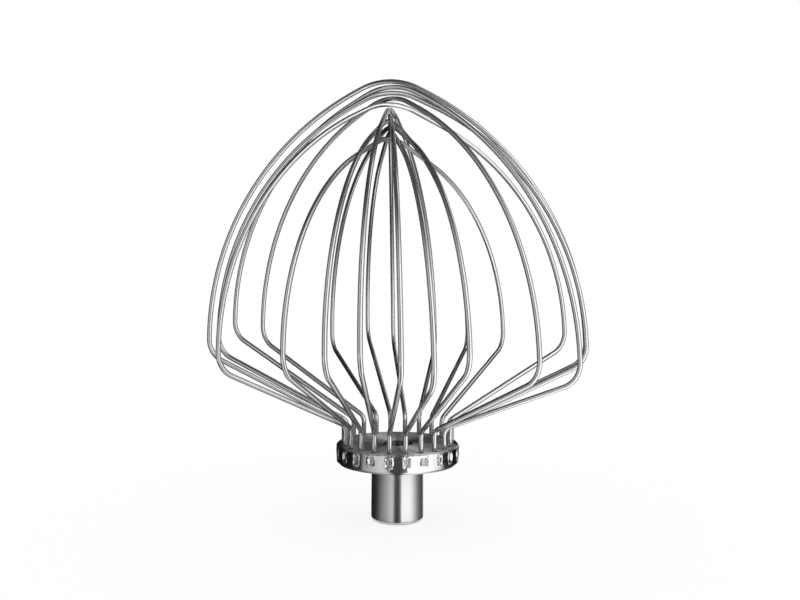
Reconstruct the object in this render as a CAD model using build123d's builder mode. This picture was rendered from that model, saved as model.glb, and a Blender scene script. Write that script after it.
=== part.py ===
from build123d import *
import os
from math import asin, atan2, cos, degrees, hypot, radians, sin, tan

# Wire whisk for a stand mixer: eleven sprung wire loops staked into one turned metal hub.
# The origin is the centre of the sleeve's mouth, +Z points to the wires, sizes are millimetres.

# Hub: a sleeve that slides on the mixer's shaft, with a flange that carries the wires
bore_d = 12.8
sleeve_wall = 4.6
sleeve_h = 24.0
flange_d = 51.5
flange_t = 8.0
foot_round = 1.6
throat_round = 1.5
flange_bevel = 1.0
flange_edge = 0.5
mouth_chamfer = 0.8
rear_chamfer = 0.4

# Bayonet in the bore: the shaft's cross pin slides up the groove, turns and drops into the notch
pin_d = 4.0
pin_play = 0.2
pin_groove_depth = 2.2
pin_lift = 9.8
pin_turn = 46.0
pin_drop = 1.2

# Wires and the way they are held: a hole for each end, closed on the wire by a punch mark on the rim
wire_d = 2.0
wire_play = 0.1
hole_inset = 3.05
hole_floor = 2.0
stake_w = 2.6
stake_h = 3.8
stake_depth = 0.7
stake_drop = 1.2

# Outline of a loop above the flange, from its post out to the shoulder and in to the crown
post_h = 8.2
post_radius = 4.0
shoulder_d = 157.6
shoulder_h = 37.0
shoulder_radius = 10.3
haunch_inset = 2.1
haunch_share = 0.676
crown_radius = 24.6
crown_h = 152.7
crown_gap = 0.43
least_straight = 1.0

# The sprung cage isn't quite true: its crown stands to -X of the axis and the haunches follow by a share
crown_lean = 4.0
haunch_follow = 0.3

# Loops from the top of the crown down: the hole of one end, counted round from +X, how many degrees each
# side of the cage has been pushed round from its hole, that end first, and how far that end's shoulder
# has slipped down and the other one up
loops = [
    (0, -3, 6, 1),
    (20, 7, 12, 6),
    (21, 0, 8, 0),
    (19, 0, 13, 2),
    (1, 2, 12, -2),
    (4, 11, 15, 4),
    (5, 10, 9, 1),
    (3, 15, 22, 2),
    (18, -6, 0, -3),
    (17, 1, 3, 2),
    (2, 17, 26, 1),
]

hub_h = sleeve_h + flange_t
sleeve_d = bore_d + 2 * sleeve_wall
hole_count = 2 * len(loops)
hole_pitch = 360 / hole_count
hole_ring_d = flange_d - 2 * hole_inset
hole_depth = flange_t - hole_floor
shoulder_z = hub_h + shoulder_h
haunch_d = shoulder_d - 2 * haunch_inset
os.makedirs("parts", exist_ok=True)


def around(diameter, bearing, height):
    """A point at a diameter, bearing and height about the whisk's axis."""
    angle = radians(bearing)
    return Vector(diameter / 2 * cos(angle), diameter / 2 * sin(angle), height)


def crown_corner(haunch_z, top_z):
    """Height where two flanks, drawn from the haunches to touch the crown's arc, would meet."""
    centre_z = top_z - crown_radius
    reach = hypot(haunch_d / 2, centre_z - haunch_z)
    flank = atan2(centre_z - haunch_z, haunch_d / 2) + asin(crown_radius / reach)
    return haunch_z + haunch_d / 2 * tan(flank)


def tangent_length(radius, before, corner, after):
    """How much of each run an arc of this radius takes up at a corner."""
    turn = (corner - before).get_angle(after - corner)
    return radius * tan(radians(turn) / 2)


def side_radius(post, shoulder, haunch, crown, far_haunch):
    """The largest arc at a haunch that leaves the shoulder and the crown their own arcs."""
    side_run = (haunch - shoulder).length - tangent_length(shoulder_radius, post, shoulder, haunch)
    flank_run = (crown - haunch).length - tangent_length(crown_radius, haunch, crown, far_haunch)
    turn = (haunch - shoulder).get_angle(crown - haunch)
    return (min(side_run, flank_run) - least_straight) / tan(radians(turn) / 2)


# Hub: revolved section with its edges broken, then wire holes, punch marks and the bayonet
with BuildPart() as hub:
    with BuildSketch(Plane.XZ):
        with BuildLine():
            Polyline(
                (bore_d / 2, 0),
                (sleeve_d / 2, 0),
                (sleeve_d / 2, sleeve_h),
                (flange_d / 2, sleeve_h),
                (flange_d / 2, hub_h),
                (bore_d / 2, hub_h),
                close=True,
            )
        make_face()
    revolve(axis=Axis.Z)

    fillet(hub.edges().group_by(Axis.Z)[0].sort_by(SortBy.RADIUS)[-1], foot_round)
    chamfer(hub.edges().group_by(Axis.Z)[0].sort_by(SortBy.RADIUS)[0], mouth_chamfer)
    under_edges = hub.edges().filter_by_position(Axis.Z, sleeve_h, sleeve_h)
    chamfer(under_edges.sort_by(SortBy.RADIUS)[-1], flange_bevel)
    under_edges = hub.edges().filter_by_position(Axis.Z, sleeve_h, sleeve_h)
    fillet(under_edges.sort_by(SortBy.RADIUS)[0], throat_round)
    chamfer(hub.edges().group_by(Axis.Z)[-1].sort_by(SortBy.RADIUS)[-1], flange_edge)
    chamfer(hub.edges().group_by(Axis.Z)[-1].sort_by(SortBy.RADIUS)[0], rear_chamfer)

    with Locations((0, 0, hub_h)):
        with PolarLocations(hole_ring_d / 2, hole_count):
            Hole((wire_d + wire_play) / 2, hole_depth)

    with Locations((0, 0, hub_h - stake_drop - stake_h / 2)):
        with PolarLocations(flange_d / 2, hole_count):
            Box(2 * stake_depth, stake_w, stake_h, mode=Mode.SUBTRACT)

    groove_r = bore_d / 2 + pin_groove_depth
    groove_w = pin_d + pin_play
    groove_angle = degrees(2 * asin(groove_w / 2 / groove_r))
    with BuildSketch(Plane.XY):
        with Locations((groove_r / 2, 0)):
            Rectangle(groove_r, groove_w)
    extrude(amount=pin_lift + groove_w, mode=Mode.SUBTRACT)
    with BuildSketch(Plane.XZ):
        with Locations((0, pin_lift)):
            Rectangle(groove_r, groove_w, align=(Align.MIN, Align.MIN))
    revolve(axis=Axis.Z, revolution_arc=pin_turn + groove_angle / 2, mode=Mode.SUBTRACT)
    with BuildSketch(Plane.XZ.rotated((0, 0, pin_turn - groove_angle / 2))):
        with Locations((0, pin_lift - pin_drop)):
            Rectangle(groove_r, pin_drop, align=(Align.MIN, Align.MIN))
    revolve(axis=Axis.Z, revolution_arc=groove_angle, mode=Mode.SUBTRACT)
hub.part.label = "hub"
export_step(hub.part, "parts/hub.step")


# Wire loops: each is one length of wire, bent in the same places and seated in two opposite holes
lean = Vector(-crown_lean, 0, 0)
for rank, (first_hole, first_push, second_push, slip) in enumerate(loops):
    name = f"wire_loop_{rank + 1:02d}"
    top_z = hub_h + crown_h - rank * (wire_d + crown_gap)
    haunch_z = shoulder_z + haunch_share * (top_z - shoulder_z)
    crown = Vector(0, 0, crown_corner(haunch_z, top_z)) + lean

    sides = []
    second_hole = first_hole + len(loops)
    for hole, push, drop in ((first_hole, first_push, slip), (second_hole, second_push, -slip)):
        bearing = hole * hole_pitch
        seat = around(hole_ring_d, bearing, hub_h - hole_depth)
        post = around(hole_ring_d, bearing, hub_h + post_h)
        shoulder = around(shoulder_d, bearing + push, shoulder_z - drop)
        haunch = around(haunch_d, bearing + push, haunch_z) + lean * haunch_follow
        sides.append((seat, post, shoulder, haunch))
    first_side, second_side = sides
    first_radius = side_radius(*first_side[1:], crown, second_side[-1])
    second_radius = side_radius(*second_side[1:], crown, first_side[-1])
    bends = [post_radius, shoulder_radius, first_radius, crown_radius]
    bends += [second_radius, shoulder_radius, post_radius]

    with BuildPart() as wire_loop:
        with BuildLine() as run:
            FilletPolyline(*first_side, crown, *reversed(second_side), radius=bends)
        with BuildSketch(Plane(origin=run.line @ 0, z_dir=run.line % 0)):
            Circle(wire_d / 2)
        sweep()
    wire_loop.part.label = name
    export_step(wire_loop.part, f"parts/{name}.step")
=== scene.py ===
import bpy
import numpy as np
from mathutils import Matrix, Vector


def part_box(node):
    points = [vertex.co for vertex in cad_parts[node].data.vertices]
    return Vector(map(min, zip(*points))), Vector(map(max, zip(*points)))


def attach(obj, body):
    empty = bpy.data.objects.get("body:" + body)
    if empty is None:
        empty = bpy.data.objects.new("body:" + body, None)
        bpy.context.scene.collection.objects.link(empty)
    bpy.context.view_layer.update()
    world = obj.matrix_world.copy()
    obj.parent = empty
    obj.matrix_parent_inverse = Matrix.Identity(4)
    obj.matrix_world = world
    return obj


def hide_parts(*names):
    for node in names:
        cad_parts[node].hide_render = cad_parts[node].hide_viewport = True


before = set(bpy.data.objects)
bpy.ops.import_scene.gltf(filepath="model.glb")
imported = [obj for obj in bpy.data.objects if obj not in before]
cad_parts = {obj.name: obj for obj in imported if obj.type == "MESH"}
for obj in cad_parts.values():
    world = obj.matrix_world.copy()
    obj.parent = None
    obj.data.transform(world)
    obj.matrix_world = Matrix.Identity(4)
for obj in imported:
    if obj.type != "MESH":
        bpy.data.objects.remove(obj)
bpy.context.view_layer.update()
scene = bpy.context.scene
scene.view_settings.view_transform = "Standard"
mm = 0.001
white = (1, 1, 1, 1)
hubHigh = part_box("hub")[1]
hubTop = hubHigh.z
flangeR = hubHigh.x
print("frame loaded, hub", round(hubTop / mm, 2), "mm high")


# mesh helpers

def gridQuads(rows, cols, closeRows=False, closeCols=False):
    # corner numbers of the quads between neighbouring points of a rows x cols grid
    i, j = np.meshgrid(np.arange(rows - (not closeRows)), np.arange(cols - (not closeCols)), indexing="ij")
    nextI, nextJ = (i + 1) % rows, (j + 1) % cols
    corners = [i * cols + j, i * cols + nextJ, nextI * cols + nextJ, nextI * cols + j]
    return np.stack(corners, -1).reshape(-1, 4)


def makePiece(name, points, quads, caps=(), attributes=None, sharpAngle=None, uv=None):
    mesh = bpy.data.meshes.new(name)
    mesh.from_pydata(points.reshape(-1, 3).tolist(), [], quads.tolist() + [list(c) for c in caps])
    if uv is not None:
        corners = np.zeros((len(mesh.loops), 2), np.float32)
        corners[:len(uv)] = uv
        mesh.uv_layers.new(name="grain").data.foreach_set("uv", corners.ravel())
    mesh.polygons.foreach_set("use_smooth", np.ones(len(mesh.polygons), bool))
    for label, values in (attributes or {}).items():
        kind, key = ("FLOAT_VECTOR", "vector") if values.shape[-1] == 3 else ("FLOAT", "value")
        layer = mesh.attributes.new(label, kind, "POINT")
        layer.data.foreach_set(key, np.ascontiguousarray(values, np.float32).ravel())
    if sharpAngle:
        mesh.set_sharp_from_angle(angle=np.radians(sharpAngle))
    mesh.update()
    piece = bpy.data.objects.new(name, mesh)
    scene.collection.objects.link(piece)
    return piece


def smooth(low, high, x):
    # 0 below low, 1 above high, an S between
    t = np.clip((x - low) / (high - low), 0, 1)
    return t * t * (3 - 2 * t)


def band(start, full, fade, end, x):
    # 0 up to start, 1 from full to fade, 0 again from end on
    return smooth(start, full, x) * (1 - smooth(fade, end, x))


def unit(v):
    return v / np.linalg.norm(v, axis=-1, keepdims=True)


def turnAt(before, corner, after):
    # the directions into and out of a corner, and the angle between them
    along, onward = unit(corner - before), unit(after - corner)
    return along, onward, np.arccos(np.clip(along @ onward, -1, 1))


def bentRun(corners, radii, degreesPerStep, leastPoints):
    # straight runs joined by tangent arcs: an arc is start + R (sin a . along + (1 - cos a) . inward)
    corners = np.asarray(corners, float)
    pieces = [corners[:1]]
    for before, corner, after, radius in zip(corners[:-2], corners[1:-1], corners[2:], radii):
        along, onward, turn = turnAt(before, corner, after)
        inward = unit(onward - along * (along @ onward))
        a = np.linspace(0, turn, max(leastPoints, int(np.degrees(turn) / degreesPerStep)))[:, None]
        start = corner - along * radius * np.tan(turn / 2)
        pieces.append(start + radius * (np.sin(a) * along + (1 - np.cos(a)) * inward))
    return np.vstack(pieces + [corners[-1:]])


# node helpers

def addNode(tree, kind, inputs=None, **settings):
    made = tree.nodes.new(kind)
    for key, value in settings.items():
        setattr(made, key, value)
    for socket, value in (inputs or {}).items():
        if isinstance(value, bpy.types.NodeSocket):
            tree.links.new(value, made.inputs[socket])
        else:
            made.inputs[socket].default_value = value
    return made


def addNoise(tree, vector, scale, detail):
    noise = addNode(tree, "ShaderNodeTexNoise", {"Vector": vector, "Scale": scale, "Detail": detail})
    return noise.outputs["Fac"]


def newMaterial(name):
    material = bpy.data.materials.new(name)
    material.use_nodes = True
    material.node_tree.nodes.clear()
    output = material.node_tree.nodes.new("ShaderNodeOutputMaterial")
    return material, material.node_tree, output


# bright drawn wire: fine lines along its length, a slightly uneven polish

wireFinish = {
    "colour": (0.76, 0.76, 0.77, 1),
    "dull": (0.68, 0.68, 0.69, 1),
    "roughness": (0.15, 0.23),
    "polish": (0.3, 0.7),          # part of the lines' noise that the roughness follows
    "anisotropy": 0.3,
    "lines": (1.0, 3.0),           # scale and detail
    "lineDepth": 0.0015 * mm,
    "lineStrength": 0.6,
    "cloud": (1.0, 2.0),           # scale and detail of the dull patches
    "cloudStretch": (4.0, 0.15, 0.15),
}


def drawnWire(name, look):
    material, tree, output = newMaterial(name)
    grain = addNode(tree, "ShaderNodeAttribute", attribute_name="drawn").outputs["Vector"]
    lines = addNoise(tree, grain, *look["lines"])
    stretch = addNode(tree, "ShaderNodeMapping", {"Vector": grain, "Scale": look["cloudStretch"]})
    cloud = addNoise(tree, stretch.outputs["Vector"], *look["cloud"])
    tint = addNode(tree, "ShaderNodeMix", {
        "Factor": cloud, "A": look["colour"], "B": look["dull"]}, data_type="RGBA")
    rough = addNode(tree, "ShaderNodeMapRange", {
        "Value": lines, "From Min": look["polish"][0], "From Max": look["polish"][1],
        "To Min": look["roughness"][0], "To Max": look["roughness"][1]})
    bump = addNode(tree, "ShaderNodeBump", {
        "Height": lines, "Strength": look["lineStrength"], "Distance": look["lineDepth"]})
    tangent = addNode(tree, "ShaderNodeTangent", direction_type="UV_MAP", uv_map="grain")
    metal = addNode(tree, "ShaderNodeBsdfPrincipled", {
        "Base Color": tint.outputs["Result"], "Metallic": 1.0, "Roughness": rough.outputs["Result"],
        "Anisotropic": look["anisotropy"],
        "Normal": bump.outputs["Normal"], "Tangent": tangent.outputs["Tangent"]})
    tree.links.new(metal.outputs["BSDF"], output.inputs["Surface"])
    return material


# turned metal: tool lines run round the axis, the finish attribute goes from polished to satin, and a
# painted-shade attribute darkens the colour

hubFinish = {
    "colour": (0.72, 0.72, 0.73, 1),
    # dark grey of the painted shade, and how far it is mixed in at full shade
    "paintedShadeColour": (0.30, 0.30, 0.31, 1),
    "paintedShadeShare": 0.8,
    "roughness": (0.07, 0.60),
    "unevenness": 0.12,            # how far the roughness differs from band to band
    "anisotropy": 1.0,
    "grainTurn": 0.25,             # turns, so that highlights spread across the tool lines
    "lines": (5.0, 4.0),           # scale and detail
    "lineDepth": 0.010 * mm,
    "lineStrength": 0.5,
    "bands": (0.9, 2.0),           # scale and detail
}


def turnedMetal(name, look):
    material, tree, output = newMaterial(name)
    lathe = addNode(tree, "ShaderNodeAttribute", attribute_name="lathe").outputs["Vector"]
    finish = addNode(tree, "ShaderNodeAttribute", attribute_name="finish").outputs["Fac"]
    paintedShade = addNode(tree, "ShaderNodeAttribute", attribute_name="paintedShade").outputs["Fac"]
    lines = addNoise(tree, lathe, *look["lines"])
    bands = addNoise(tree, lathe, *look["bands"])
    # painted shade: the colour turns towards dark grey in the bore, the wire holes, the punch marks and
    # under the flange
    shade = addNode(tree, "ShaderNodeMath", {0: paintedShade, 1: look["paintedShadeShare"]}, operation="MULTIPLY")
    tint = addNode(tree, "ShaderNodeMix", {
        "Factor": shade.outputs["Value"], "A": look["colour"], "B": look["paintedShadeColour"]}, data_type="RGBA")
    satin = addNode(tree, "ShaderNodeMapRange", {
        "Value": finish, "To Min": look["roughness"][0], "To Max": look["roughness"][1]})
    uneven = addNode(tree, "ShaderNodeMath", {
        0: bands, 1: look["unevenness"], 2: satin.outputs["Result"]}, operation="MULTIPLY_ADD")
    rough = addNode(tree, "ShaderNodeMath", {
        0: uneven.outputs["Value"], 1: look["unevenness"] / 2}, operation="SUBTRACT")
    bump = addNode(tree, "ShaderNodeBump", {
        "Height": lines, "Strength": look["lineStrength"], "Distance": look["lineDepth"]})
    tangent = addNode(tree, "ShaderNodeTangent", direction_type="RADIAL", axis="Z")
    metal = addNode(tree, "ShaderNodeBsdfPrincipled", {
        "Base Color": tint.outputs["Result"], "Metallic": 1.0, "Roughness": rough.outputs["Value"],
        "Anisotropic": look["anisotropy"], "Anisotropic Rotation": look["grainTurn"],
        "Normal": bump.outputs["Normal"], "Tangent": tangent.outputs["Tangent"]})
    tree.links.new(metal.outputs["BSDF"], output.inputs["Surface"])
    return material


# wire loops: the same bends as the solids, top of the crown first

cage = {
    "wireR": 1.0 * mm,
    "holeRingR": 22.7 * mm,
    "seatDrop": 6.0 * mm,          # depth of the wire's end below the flange
    "postHeight": 8.2 * mm,
    "postBend": 4.0 * mm,
    "shoulderR": 78.8 * mm,
    "shoulderHeight": 37.0 * mm,
    "shoulderBend": 10.3 * mm,
    "haunchInset": 2.1 * mm,
    "haunchShare": 0.676,
    "crownBend": 24.6 * mm,
    "crownHeight": 152.7 * mm,
    "crownStep": 2.43 * mm,        # from one loop's crown to the next one's
    "crownLean": 4.0 * mm,         # how far the crown stands to the left of the axis
    "haunchFollow": 0.3,
    "leastStraight": 1.0 * mm,
    "sidesAround": 24,
    "degreesPerStep": 2.0,
    "leastArcPoints": 4,
    "grainLength": 45 * mm,        # length of one drawn line
    "grainRing": 5.0,              # how many line widths make the wire's radius
    "grainShift": 20,              # from one loop's lines to the next one's
    # hole of one end counted round from +X, the push of that side and of the far side in degrees,
    # and how many millimetres that side's shoulder has slipped down and the far one up
    "loops": [(0, -3, 6, 1), (20, 7, 12, 6), (21, 0, 8, 0), (19, 0, 13, 2), (1, 2, 12, -2), (4, 11, 15, 4),
              (5, 10, 9, 1), (3, 15, 22, 2), (18, -6, 0, -3), (17, 1, 3, 2), (2, 17, 26, 1)],
}
loopCount = len(cage["loops"])
holeCount = 2 * loopCount
holePitch = 2 * np.pi / holeCount


def around(radius, bearing, height):
    return np.array([radius * np.cos(np.radians(bearing)), radius * np.sin(np.radians(bearing)), height])


def tangentLength(radius, before, corner, after):
    # how much of each run an arc of this radius takes up at a corner
    return radius * np.tan(turnAt(before, corner, after)[2] / 2)


def sideBend(post, shoulder, haunch, crown, farHaunch, size):
    # largest arc at the haunch that leaves the shoulder and the crown their own arcs
    sideRun = np.linalg.norm(haunch - shoulder) - tangentLength(size["shoulderBend"], post, shoulder, haunch)
    flankRun = np.linalg.norm(crown - haunch) - tangentLength(size["crownBend"], haunch, crown, farHaunch)
    spare = min(sideRun, flankRun) - size["leastStraight"]
    return spare / tangentLength(1.0, shoulder, haunch, crown)


def loopLine(rank, size):
    # seat, post, shoulder and haunch of one side, the crown, and the other side back down
    hole, nearPush, farPush, slip = size["loops"][rank]
    topZ = hubTop + size["crownHeight"] - rank * size["crownStep"]
    shoulderZ = hubTop + size["shoulderHeight"]
    haunchZ = shoulderZ + size["haunchShare"] * (topZ - shoulderZ)
    haunchR = size["shoulderR"] - size["haunchInset"]
    lean = np.array([-size["crownLean"], 0, 0])
    centreZ = topZ - size["crownBend"]           # the flank touches the crown's arc
    reach = np.hypot(haunchR, centreZ - haunchZ)
    flank = np.arctan2(centreZ - haunchZ, haunchR) + np.arcsin(size["crownBend"] / reach)
    crown = np.array([0, 0, haunchZ + haunchR * np.tan(flank)]) + lean
    sides = []
    for holeNumber, push, drop in ((hole, nearPush, slip * mm), (hole + loopCount, farPush, -slip * mm)):
        bearing = holeNumber * 180 / loopCount
        sides.append([
            around(size["holeRingR"], bearing, hubTop - size["seatDrop"]),
            around(size["holeRingR"], bearing, hubTop + size["postHeight"]),
            around(size["shoulderR"], bearing + push, shoulderZ - drop),
            around(haunchR, bearing + push, haunchZ) + size["haunchFollow"] * lean,
        ])
    one, other = sides
    ends = [size["postBend"], size["shoulderBend"]]
    oneHaunch = sideBend(*one[1:], crown, other[-1], size)
    otherHaunch = sideBend(*other[1:], crown, one[-1], size)
    bends = ends + [oneHaunch, size["crownBend"], otherHaunch] + ends[::-1]
    return bentRun(one + [crown] + other[::-1], bends, size["degreesPerStep"], size["leastArcPoints"])


def wireLoop(rank, size):
    # a circle carried along the line: point = line + R (cos v . side + sin v . up)
    line = loopLine(rank, size)
    ahead = unit(np.gradient(line, axis=0))
    across = unit(np.cross(line[-1] - line[0], (0, 0, 1)))      # level, square to the loop's plane
    side = unit(across - ahead * (ahead @ across)[:, None])
    up = np.cross(ahead, side)
    v = np.linspace(0, 2 * np.pi, size["sidesAround"], endpoint=False)
    ring = np.cos(v)[None, :, None] * side[:, None] + np.sin(v)[None, :, None] * up[:, None]
    points = line[:, None] + size["wireR"] * ring
    length = np.r_[0, np.cumsum(np.linalg.norm(np.diff(line, axis=0), axis=1))]
    run = length / size["grainLength"] + size["grainShift"] * rank
    drawn = np.stack(np.broadcast_arrays(
        run[:, None], size["grainRing"] * np.cos(v)[None], size["grainRing"] * np.sin(v)[None]), -1)
    rows, cols = points.shape[:2]
    caps = (np.arange(cols)[::-1], (rows - 1) * cols + np.arange(cols))
    i, j = np.meshgrid(np.arange(rows - 1), np.arange(cols), indexing="ij")
    turns = np.stack([j, j + 1, j + 1, j], -1) / cols
    lengths = np.stack([run[i], run[i], run[i + 1], run[i + 1]], -1)
    uv = np.stack([turns, lengths], -1).reshape(-1, 2)
    name = f"wireLoop{rank + 1:02d}"
    return makePiece(name, points, gridQuads(rows, cols, closeCols=True), caps, {"drawn": drawn}, uv=uv)


wireMetal = drawnWire("drawnWire", wireFinish)
for rank in range(loopCount):
    loop = wireLoop(rank, cage)
    loop.data.materials.append(wireMetal)
    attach(loop, "root")
    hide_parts(f"wire_loop_{rank + 1:02d}")
print("wire loops", loopCount)


# hub: one closed section turned about the axis, with the wire holes, punch marks and bayonet pressed in

hub = {
    "boreR": 6.4 * mm,
    "sleeveR": 11.0 * mm,
    "flangeHeight": 8.0 * mm,
    "footRound": 1.6 * mm,
    "throatRound": 1.5 * mm,
    "flangeBevel": 1.0 * mm,
    "flangeEdge": 0.5 * mm,
    "mouthChamfer": 0.8 * mm,
    "rearChamfer": 0.4 * mm,
    "holeR": 1.05 * mm,
    "holeLip": 0.22 * mm,
    "holeShown": 0.7 * mm,         # depth of the open ring left round each wire
    "grooveWidth": 4.2 * mm,
    "grooveDepth": 2.2 * mm,
    "pinLift": 9.8 * mm,
    "pinDrop": 1.2 * mm,
    "pinTurn": 46.0,               # degrees
    # punch marks
    "stakeWidth": 2.6 * mm,
    "stakeHeight": 3.8 * mm,
    "stakeDepth": 0.7 * mm,
    "stakeDrop": 1.2 * mm,
    "squareness": 6,               # power that makes the dent square
    "dentWall": (0.42, 1.02),      # where its wall starts and ends, in half widths
    "heart": (0.35, 0.45),         # how far its middle is left raised, and out to where
    "burr": 0.20 * mm,
    "burrRing": (1.16, 0.12),      # middle and width of the raised lip, in half widths
    "burrHeight": (0.7, 0.3),      # plain share, and share that differs
    "burrWaves": (5, 3, 9),        # ripples across, down and by mark
    "hardest": (16, 17),           # marks with the most metal raised round them
    "hardBurr": 1.8,
    "stray": (0.12 * mm, 0.15 * mm),     # how far a mark is off across and down
    "strayTilt": 0.05,
    "depthSpread": (0.9, 0.1),     # plain share of the depth, and share that differs
    "seed": 7,
    # finish, from 0 for polished to 1 for satin, and how much painted shade darkens each recess and the
    # flange's underside
    "finish": {"bore": 0.28, "top": 0.77, "rim": 0.0, "under": 0.64, "sleeve": 0.47, "mouth": 0.50},
    "recessFinish": 0.6,
    "paintedBoreShade": 0.85,
    "paintedUnderShade": 0.7,
    "paintedMarkShade": 0.55,
    "latheRing": 0.25,             # how far the tool lines wander in one turn
    "sharpAngle": 38,
    # rows and columns of the mesh
    "nearShare": 0.24,             # share of the pitch, each side of a mark, with close columns
    "markColumns": (23, 9),        # across a mark, and from one to the next
    "arcRows": 9,
    "edgeSlack": 0.04 * mm,        # rows just under and over each edge of the bayonet
    "boreRows": (4 * mm, 12 * mm, 18 * mm, 24 * mm),
    "holeZone": (1.7 * mm, 1.5 * mm, 1.8 * mm),     # inside, within and outside the ring of holes
    "topRows": (10, 23, 5),
    "markMargin": 0.5 * mm,
    "rimRows": (34, 5),
    "faceRows": 6,
    "sleeveRows": 9,
}


def hubColumns(size):
    # azimuths, close together across each punch mark and wire hole, wide between them
    near = size["nearShare"] * holePitch
    close, wide = size["markColumns"]
    inSector = np.r_[np.linspace(-near, near, close), np.linspace(near, holePitch - near, wide)[1:-1]]
    return (inSector[None] + holePitch * np.arange(holeCount)[:, None]).ravel()


def hubRows(size):
    # the section as straight stretches and arcs, each with the rows that it needs
    sleeveTop = hubTop - size["flangeHeight"]
    boreR, sleeveR = size["boreR"], size["sleeveR"]
    quarter = np.linspace(0, np.pi / 2, size["arcRows"])
    pocketZ = size["pinLift"]
    grooveEdges = np.array([pocketZ - size["pinDrop"], pocketZ, pocketZ + size["grooveWidth"]])
    boreZ = np.sort(np.r_[size["mouthChamfer"], grooveEdges - size["edgeSlack"],
                          grooveEdges + size["edgeSlack"], size["boreRows"], hubTop - size["rearChamfer"]])
    ring = cage["holeRingR"]
    inside, within, outside = size["holeZone"]
    topR = np.r_[np.linspace(boreR + size["rearChamfer"], ring - inside, size["topRows"][0]),
                 np.linspace(ring - within, ring + within, size["topRows"][1]),
                 np.linspace(ring + outside, flangeR - size["flangeEdge"], size["topRows"][2])]
    markTop = hubTop - size["stakeDrop"] + size["markMargin"]
    markFoot = markTop - size["stakeHeight"] - 2 * size["markMargin"]
    rimZ = np.r_[hubTop - size["flangeEdge"], np.linspace(markTop, markFoot, size["rimRows"][0]),
                 np.linspace(markFoot, sleeveTop + size["flangeBevel"], size["rimRows"][1])[1:]]
    underR = np.linspace(flangeR - size["flangeBevel"], sleeveR + size["throatRound"], size["faceRows"])
    throatR = sleeveR + size["throatRound"] * (1 - np.sin(quarter))
    throatZ = sleeveTop - size["throatRound"] * (1 - np.cos(quarter))
    footR = sleeveR - size["footRound"] * (1 - np.cos(quarter))
    footZ = size["footRound"] * (1 - np.sin(quarter))
    mouthR = np.linspace(sleeveR - size["footRound"], boreR + size["mouthChamfer"], size["faceRows"])
    sleeveZ = np.linspace(sleeveTop - size["throatRound"], size["footRound"], size["sleeveRows"])
    stretches = [
        (np.full_like(boreZ, boreR), boreZ, "bore"),
        (topR, np.full_like(topR, hubTop), "top"),
        (np.full_like(rimZ, flangeR), rimZ, "rim"),
        (underR, np.full_like(underR, sleeveTop), "under"),
        (throatR[1:], throatZ[1:], "sleeve"),
        (np.full(len(sleeveZ) - 2, sleeveR), sleeveZ[1:-1], "sleeve"),
        (footR, footZ, "sleeve"),
        (mouthR[1:], np.zeros(len(mouthR) - 1), "mouth"),
    ]
    sectionR = np.concatenate([s[0] for s in stretches])
    sectionZ = np.concatenate([s[1] for s in stretches])
    zone = np.concatenate([np.full(len(s[0]), s[2]) for s in stretches])
    return sectionR, sectionZ, zone


def bayonetReach(bearing, height, size):
    # how far from the axis the pin's groove, pocket and notch are cut, seen along each bearing
    floorR = size["boreR"] + size["grooveDepth"]
    turn = (bearing + np.pi) % (2 * np.pi) - np.pi
    ahead = np.abs(turn) < np.pi / 2
    leastCos, leastSin = 0.01, 1e-6        # keep the divisions below finite
    slot = np.minimum(floorR / np.maximum(np.cos(turn), leastCos),
                      size["grooveWidth"] / 2 / np.maximum(np.abs(np.sin(turn)), leastSin))
    half = np.arcsin(size["grooveWidth"] / 2 / floorR)
    pinAt = np.radians(size["pinTurn"])
    lift = size["pinLift"]
    top = lift + size["grooveWidth"]
    groove = np.where(ahead & (height < top), slot, 0)
    inPocket = (turn > 0) & (turn < pinAt + half) & (height > lift) & (height < top)
    inNotch = (np.abs(turn - pinAt) < half) & (height > lift - size["pinDrop"]) & (height <= lift)
    return np.maximum(groove, np.where(inPocket | inNotch, floorR, 0))


def punchMarks(bearing, height, size):
    # outward shift of the rim: a square dent with a raised lip, each struck a little differently;
    # q = (|a|^n + |d|^n)^(1/n) is 1 on the edge of the square
    turn = bearing / holePitch
    number = np.rint(turn).astype(int) % holeCount
    draws = np.random.default_rng(size["seed"]).uniform(-1, 1, (6, holeCount))
    aside, lower, twist, deeper, higher, phase = draws[:, number]
    across = (turn - np.rint(turn)) * holePitch * flangeR - size["stray"][0] * aside
    down = hubTop - height - size["stakeDrop"] - size["stakeHeight"] / 2 - size["stray"][1] * lower
    tilt = size["strayTilt"] * twist
    a = (across + tilt * down) / (size["stakeWidth"] / 2)
    d = (down - tilt * across) / (size["stakeHeight"] / 2)
    n = size["squareness"]
    q = (np.abs(a) ** n + np.abs(d) ** n) ** (1 / n)
    dent = 1 - smooth(*size["dentWall"], q)
    raised, raisedTo = size["heart"]
    floor = 1 - raised * (1 - smooth(0.0, raisedTo, q)) * (1 + deeper) / 2
    least, spread = size["depthSpread"]
    depth = size["stakeDepth"] * (least + spread * deeper) * dent * floor
    middle, width = size["burrRing"]
    plain, differs = size["burrHeight"]
    waveA, waveD, waveMark = size["burrWaves"]
    ripple = np.sin(waveA * a + waveD * d + waveMark * phase)
    lip = np.exp(-((q - middle) / width) ** 2) * (plain + differs * higher + differs * ripple)
    hard = np.where(np.isin(number, size["hardest"]), size["hardBurr"], 1.0)
    return size["burr"] * hard * lip - depth, dent


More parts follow.
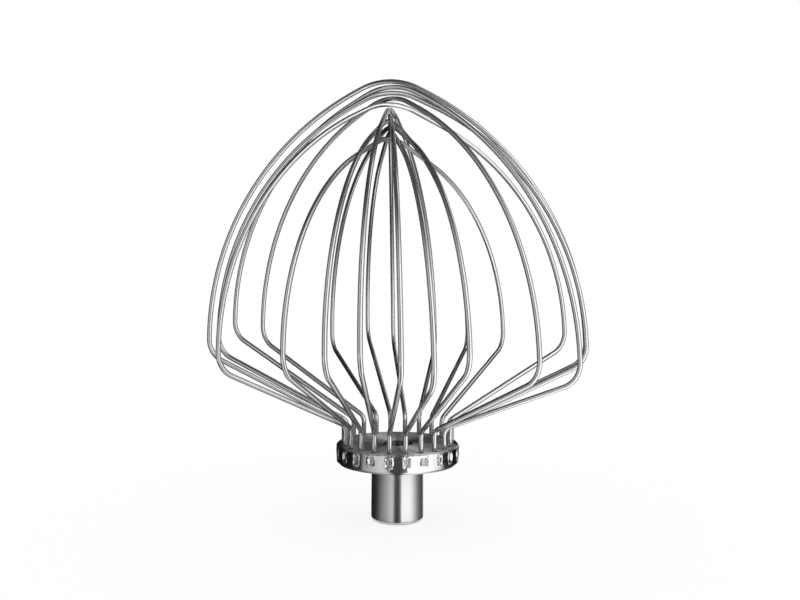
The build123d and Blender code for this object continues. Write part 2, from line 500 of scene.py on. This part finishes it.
def turnedHub(size):
    # point = (r cos az, r sin az, z) over section rows and azimuth columns
    sectionR, sectionZ, zone = hubRows(size)
    columns = hubColumns(size)
    rows, cols = len(sectionR), len(columns)
    radius = np.repeat(sectionR[:, None], cols, 1)
    height = np.repeat(sectionZ[:, None], cols, 1)
    bearing = np.repeat(columns[None], rows, 0)
    # painted shade, from 0 to 1, laid into the recesses and under the flange
    paintedShade = np.zeros((rows, cols))
    bore, top, rim, mouth = (zone == k for k in ("bore", "top", "rim", "mouth"))

    cut = bayonetReach(bearing, height, size)
    radius[bore] = np.maximum(radius[bore], cut[bore])
    outerR = size["sleeveR"] - size["footRound"]
    innerR = size["boreR"] + size["mouthChamfer"]
    cutMouth = np.maximum(innerR, cut[mouth])
    radius[mouth] = cutMouth + (radius[mouth] - innerR) / (outerR - innerR) * (outerR - cutMouth)
    # painted shade in the bore and under the flange
    paintedShade[bore] = size["paintedBoreShade"]
    paintedShade[zone == "under"] = size["paintedUnderShade"]

    shift, dent = punchMarks(bearing[rim], height[rim], size)
    radius[rim] += shift
    # painted shade in each punch mark's dent
    paintedShade[rim] = size["paintedMarkShade"] * dent

    off = bearing[top] - np.rint(bearing[top] / holePitch) * holePitch
    ring = cage["holeRingR"]
    gap = np.sqrt((radius[top] * np.cos(off) - ring) ** 2 + (radius[top] * np.sin(off)) ** 2)
    sunk = 1 - smooth(size["holeR"], size["holeR"] + size["holeLip"], gap)
    height[top] -= size["holeShown"] * sunk
    # painted shade in the open ring round each wire
    paintedShade[top] = sunk

    finish = np.repeat(np.array([size["finish"][k] for k in zone])[:, None], cols, 1)
    finish = np.maximum(finish, size["recessFinish"] * paintedShade * ~bore[:, None])
    along = np.r_[0, np.cumsum(np.hypot(np.diff(sectionR), np.diff(sectionZ)))] / mm
    lathe = np.stack(np.broadcast_arrays(
        along[:, None], size["latheRing"] * np.cos(bearing), size["latheRing"] * np.sin(bearing)), -1)
    points = np.stack([radius * np.cos(bearing), radius * np.sin(bearing), height], -1)
    quads = gridQuads(rows, cols, closeRows=True, closeCols=True)[:, ::-1]    # faces outward
    return makePiece("turnedHub", points, quads, (), {
        "lathe": lathe, "finish": finish[..., None], "paintedShade": paintedShade[..., None]}, size["sharpAngle"])


hubPiece = turnedHub(hub)
hubPiece.data.materials.append(turnedMetal("turnedMetal", hubFinish))
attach(hubPiece, "root")
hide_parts("hub")
print("hub", len(hubPiece.data.polygons), "faces")


# stage: white floor and surroundings, and a drum of light and dark cards that only the metal sees

studio = {
    "floorRings": (0.004, 0.0094, 0.0102, 0.011, 0.014, 0.02, 0.05, 0.2, 1.0, 6.0),
    "floorColumns": 96,
    "floorDrop": 0.05 * mm,        # keeps it clear of the sleeve's foot
    "floorColour": (0.88, 0.88, 0.88, 1),
    "floorGlow": 0.84,
    "ambient": 1.14,
    "drumR": 0.75,
    "drumFoot": 11.3 * mm,
    "drumLift": 0.3 * mm,          # keeps it clear of the floor
    "drumRows": (60, 60),          # along the floor, and up the dome
    "drumColumns": 360,
    "domeRise": (1, 89.5),         # elevation of the dome's first and last row
    "domeSqueeze": 1.08,           # how many times closer together the cards stand on the dome
    "sleeveSteps": 721,            # facings of the sleeve that are followed to the floor
    "footShade": 13.5 * mm,        # the floor is dark up to this far from the axis
    # brightness of the cards all round, by azimuth from the front
    "cards": [(-180, 0.00), (-122, 0.02), (-106, 0.05), (-94, 0.11), (-82, 0.25), (-58, 0.42), (-42, 0.60),
              (-30, 0.78), (-21, 0.76), (-11, 0.06), (5, 0.05), (12, 0.18), (16, 0.32), (19, 1.42),
              (62, 1.42), (74, 1.04), (86, 0.72), (98, 0.42), (108, 0.26), (124, 0.12), (148, 0.06),
              (158, 0.45), (172, 0.50), (178, 0.02)],
    "cardTop": (37, 69),           # elevations between which the cards fade
    # more cards: out is metres from the axis along the floor, up is elevation and round is azimuth, each as
    # start, full, fade and end; a card with a middle fades between two angles away from it
    "paleRing": {"light": 0.26, "out": (0.16, 0.24, 0.50, 0.70), "middle": 0, "fade": (55, 80)},
    "rearStrip": {"light": 0.95, "out": (0.0125, 0.02, 0.10, 0.16), "middle": 174, "fade": (22, 38)},
    "postCards": {"light": 0.95, "out": (0.18, 0.205, 0.29, 0.36), "round": (9, 20, 48, 62)},
    "sideCard": {"light": 1.1, "up": (36, 46, 62, 72), "round": (78, 88, 108, 118)},
    "overhead": {"light": 0.08, "up": (53, 71)},
    # floor left dark for the ends of the rim, past these azimuths
    "rimEnds": {"out": (0.105, 0.125, 0.20, 0.23), "left": (-58, -68), "right": (78, 92)},
    "gloom": 0.008,
}


def whiteSeen(tree):
    # 1 for rays that come straight from the camera, or by way of metal or glass
    path = addNode(tree, "ShaderNodeLightPath")
    some = addNode(tree, "ShaderNodeMath", {
        0: path.outputs["Is Camera Ray"], 1: path.outputs["Is Glossy Ray"]}, operation="MAXIMUM")
    seen = addNode(tree, "ShaderNodeMath", {
        0: some.outputs["Value"], 1: path.outputs["Is Transmission Ray"]}, operation="MAXIMUM")
    return seen.outputs["Value"]


def whiteWorld(look):
    world = bpy.data.worlds.new("whiteWorld")
    world.use_nodes = True
    tree = world.node_tree
    tree.nodes.clear()
    output = tree.nodes.new("ShaderNodeOutputWorld")
    bright = addNode(tree, "ShaderNodeBackground", {"Color": white, "Strength": 1.0})
    soft = addNode(tree, "ShaderNodeBackground", {"Color": white, "Strength": look["ambient"]})
    mix = addNode(tree, "ShaderNodeMixShader", {
        0: whiteSeen(tree), 1: soft.outputs["Background"], 2: bright.outputs["Background"]})
    tree.links.new(mix.outputs["Shader"], output.inputs["Surface"])
    scene.world = world


def paleFloor(look):
    # rings out from the axis: point = (R cos a, R sin a, -floorDrop), dark where the sleeve covers it
    ringR = np.array(look["floorRings"])[:, None]
    cols = look["floorColumns"]
    a = np.linspace(0, 2 * np.pi, cols, endpoint=False)[None]
    points = np.stack(np.broadcast_arrays(ringR * np.cos(a), ringR * np.sin(a), -look["floorDrop"]), -1)
    covered = 1 - smooth(hub["sleeveR"] - hub["footRound"], hub["sleeveR"], ringR)
    covered = np.broadcast_to(covered, points.shape[:2])
    quads = gridQuads(len(ringR), cols, closeCols=True)[:, ::-1]
    floor = makePiece("paleFloor", points, quads, [np.arange(cols)], {"covered": covered[..., None]})
    material, tree, output = newMaterial("paleFloor")
    under = addNode(tree, "ShaderNodeAttribute", attribute_name="covered")
    matt = addNode(tree, "ShaderNodeBsdfDiffuse", {"Color": look["floorColour"]})
    glow = addNode(tree, "ShaderNodeEmission", {"Color": white, "Strength": 1.0})
    lit = addNode(tree, "ShaderNodeMapRange", {
        "Value": under.outputs["Fac"], "To Min": look["floorGlow"], "To Max": 0.0})
    share = addNode(tree, "ShaderNodeMath", {
        0: whiteSeen(tree), 1: lit.outputs["Result"]}, operation="MULTIPLY")
    mix = addNode(tree, "ShaderNodeMixShader", {
        0: share.outputs["Value"], 1: matt.outputs["BSDF"], 2: glow.outputs["Emission"]})
    tree.links.new(mix.outputs["Shader"], output.inputs["Surface"])
    floor.data.materials.append(material)


def sleeveAim(look, azimuth, ringR):
    # a wall of the sleeve that faces p sends a ray from the front to 2p, which lands on the floor at
    # 2p - asin(sleeveR sin p / R): this is 2p for each place where it lands, so the bands run straight down
    facing = np.radians(np.linspace(-90, 90, look["sleeveSteps"]))
    bent = np.arcsin(np.minimum(hub["sleeveR"] / ringR, 1) * np.sin(facing))
    aims = [np.interp(np.radians(azimuth), landed, 2 * facing) for landed in 2 * facing - bent]
    return np.degrees(np.stack(aims))


def drumLight(look, azimuth, ringR, lift):
    # the cards all round, less the rim's dark ends, then whichever further card is brighter
    onFloor = lift == 0
    stops, tones = np.array(look["cards"]).T
    aim = np.where(onFloor, sleeveAim(look, azimuth, ringR), look["domeSqueeze"] * azimuth)
    light = np.interp(aim, np.r_[stops, stops[0] + 360], np.r_[tones, tones[0]])
    light = light * (1 - smooth(*look["cardTop"], lift)) * smooth(look["drumFoot"], look["footShade"], ringR)
    ends = look["rimEnds"]
    past = np.maximum(smooth(*ends["left"], azimuth), smooth(*ends["right"], azimuth))
    light = light * (1 - onFloor * band(*ends["out"], ringR) * past)
    for name in ("paleRing", "rearStrip"):
        card = look[name]
        away = np.abs((azimuth - card["middle"] + 180) % 360 - 180)
        laid = onFloor * band(*card["out"], ringR) * (1 - smooth(*card["fade"], away))
        light = np.maximum(light, card["light"] * laid)
    posts, side, above = look["postCards"], look["sideCard"], look["overhead"]
    laid = onFloor * band(*posts["out"], ringR) * band(*posts["round"], np.abs(azimuth))
    hung = band(*side["up"], lift) * band(*side["round"], azimuth)
    light = np.maximum(np.maximum(light, posts["light"] * laid), side["light"] * hung)
    return look["gloom"] + light + above["light"] * smooth(*above["up"], lift)


def studioDrum(look):
    # out from the sleeve's foot along the floor, then up over the whisk as part of a sphere:
    # point = (R sin a, -R cos a, z)
    reach = look["drumR"]
    floorRows, domeRows = look["drumRows"]
    azimuth = np.linspace(-180, 180, look["drumColumns"], endpoint=False)
    rise = np.radians(np.linspace(*look["domeRise"], domeRows))
    ringR = np.r_[np.geomspace(look["drumFoot"], reach, floorRows), reach * np.cos(rise)][:, None]
    ringZ = look["drumLift"] + np.r_[np.zeros(floorRows), reach * np.sin(rise)][:, None]
    lift = np.r_[np.zeros(floorRows), np.degrees(rise)][:, None]
    a = np.radians(azimuth)[None]
    points = np.stack(np.broadcast_arrays(ringR * np.sin(a), -ringR * np.cos(a), ringZ), -1)
    light = drumLight(look, azimuth, ringR, lift)
    quads = gridQuads(len(ringR), len(azimuth), closeCols=True)
    drum = makePiece("studioDrum", points, quads, (), {"light": light[..., None]})
    material, tree, output = newMaterial("studioDrum")
    share = addNode(tree, "ShaderNodeAttribute", attribute_name="light")
    glow = addNode(tree, "ShaderNodeEmission", {"Color": white, "Strength": share.outputs["Fac"]})
    tree.links.new(glow.outputs["Emission"], output.inputs["Surface"])
    material.cycles.emission_sampling = "NONE"
    drum.data.materials.append(material)
    drum.visible_camera = False
    drum.visible_diffuse = False
    drum.visible_shadow = False


whiteWorld(studio)
paleFloor(studio)
studioDrum(studio)
print("stage")


# camera: level, a little above the middle of the whisk, as the photograph was taken

view = {
    "place": (0.0, -0.4166, 0.1143),
    "focalPixels": 985.0,
    "middle": (398.7, 248.1),      # where the line of sight meets the picture, in pixels
    "picture": (800, 600),
    "roll": 0.315,                 # degrees
    "sensor": 36,                  # millimetres
    "clipStart": 0.01,
}
pictureWidth, pictureHeight = view["picture"]
cameraData = bpy.data.cameras.new("camera")
cameraData.sensor_width = view["sensor"]
cameraData.lens = view["sensor"] * view["focalPixels"] / pictureWidth
cameraData.shift_x = (pictureWidth / 2 - view["middle"][0]) / pictureWidth
cameraData.shift_y = (view["middle"][1] - pictureHeight / 2) / pictureWidth
cameraData.clip_start = view["clipStart"]
camera = bpy.data.objects.new("camera", cameraData)
scene.collection.objects.link(camera)
camera.matrix_world = (Matrix.Translation(view["place"]) @ Matrix.Rotation(np.pi / 2, 4, "X")
                       @ Matrix.Rotation(np.radians(view["roll"]), 4, "Z"))
scene.camera = camera
print("camera")

bpy.context.view_layer.update()
